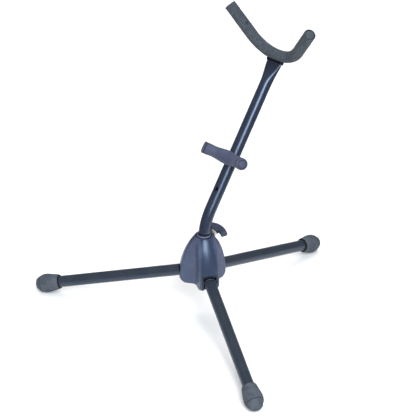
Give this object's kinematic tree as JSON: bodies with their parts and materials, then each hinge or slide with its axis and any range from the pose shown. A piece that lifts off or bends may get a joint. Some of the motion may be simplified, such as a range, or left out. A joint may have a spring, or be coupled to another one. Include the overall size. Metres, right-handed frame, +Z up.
{
  "type": "saxophone stand",
  "caption": "Folding floor stand for a saxophone: splayed tube legs on a moulded hub, a bent upright held by a wing screw, a padded U-shaped yoke and a short lower rest.",
  "frame": {"origin": "centre of the bounding box on the floor plane; the hub's vertical axis stands 57.7 mm behind it, at x = -57.7 mm", "axes": "+Z up; +X from the hub along the front leg, the way the upright leans; the plane Y = 0 is the plane of symmetry, and +Y is the left leg's side"},
  "size_m": [0.3705, 0.4256, 0.4094],
  "materials": {
    "hub_plastic": "fine satin moulded plastic, dark blue-grey",
    "bush_plastic": "satin moulded plastic",
    "knob_plastic": "fine-grained moulded plastic",
    "cap_plastic": "matt black plastic",
    "leg_paint": "semi-gloss powder coat, dark grey",
    "upright_paint": "glossy powder coat, blue-black",
    "foam": "closed-cell foam, matt, fine-pored",
    "rest_rubber": "moulded soft plastic, satin, blue-grey",
    "foot_rubber": "matt moulded rubber",
    "zinc_steel": "zinc plated"
  },
  "bodies": {
    "hub": {"hub_shell": "hub_plastic", "clamp_nut": "zinc_steel", "leg_pin_front": "zinc_steel", "leg_pin_left": "zinc_steel", "leg_pin_right": "zinc_steel"},
    "leg_front": {"leg_tube_front": "leg_paint", "leg_plug_front": "cap_plastic", "foot_front": "foot_rubber"},
    "leg_left": {"leg_tube_left": "leg_paint", "leg_plug_left": "cap_plastic", "foot_left": "foot_rubber"},
    "leg_right": {"leg_tube_right": "leg_paint", "leg_plug_right": "cap_plastic", "foot_right": "foot_rubber"},
    "bush": {"swivel_bush": "bush_plastic"},
    "upright": {"upright_tube": "upright_paint", "upright_end_plug": "cap_plastic", "yoke_weld": "upright_paint", "yoke_rod": "upright_paint", "yoke_foam": "foam", "yoke_cap_left": "cap_plastic", "yoke_cap_right": "cap_plastic"},
    "lower_rest": {"rest_arm": "rest_rubber", "rest_peg": "zinc_steel"},
    "clamp_pad": {"clamp_pad": "cap_plastic"},
    "clamp_knob": {"clamp_knob": "knob_plastic", "clamp_screw": "zinc_steel"}
  },
  "joints": [
    {"name": "leg_front_fold", "type": "hinge", "parent": "hub", "child": "leg_front", "pos_m": [-0.0367, 0, 0.06906], "axis": [0, 1, 0], "range_deg": [0, 75]},
    {"name": "leg_left_fold", "type": "hinge", "parent": "hub", "child": "leg_left", "pos_m": [-0.0682, 0.01819, 0.06906], "axis": [-0.866, -0.5, 0], "range_deg": [0, 75]},
    {"name": "leg_right_fold", "type": "hinge", "parent": "hub", "child": "leg_right", "pos_m": [-0.0682, -0.01819, 0.06906], "axis": [0.866, -0.5, 0], "range_deg": [0, 75]},
    {"name": "upright_swivel", "type": "hinge", "parent": "hub", "child": "bush", "pos_m": [-0.0577, 0, 0.1], "axis": [0, 0, 1], "continuous": true},
    {"name": "upright_height", "type": "slide", "parent": "bush", "child": "upright", "axis": [0, 0, 1], "range_m": [0, 0.035]},
    {"name": "rest_pull_out", "type": "slide", "parent": "upright", "child": "lower_rest", "axis": [-0.8211, 0, 0.5707], "range_m": [0, 0.03]},
    {"name": "clamp_pad_slide", "type": "slide", "parent": "hub", "child": "clamp_pad", "axis": [0.9336, 0, 0.3584], "range_m": [0, 0.0015]},
    {"name": "clamp_knob_turn", "type": "hinge", "parent": "clamp_pad", "child": "clamp_knob", "pos_m": [-0.03903, 0, 0.12217], "axis": [0.9336, 0, 0.3584], "range_deg": [0, 540]}
  ],
  "couplings": [
    {"joint": "clamp_pad_slide", "follows": "clamp_knob_turn", "m_per_rad": 0.00015915}
  ]
}
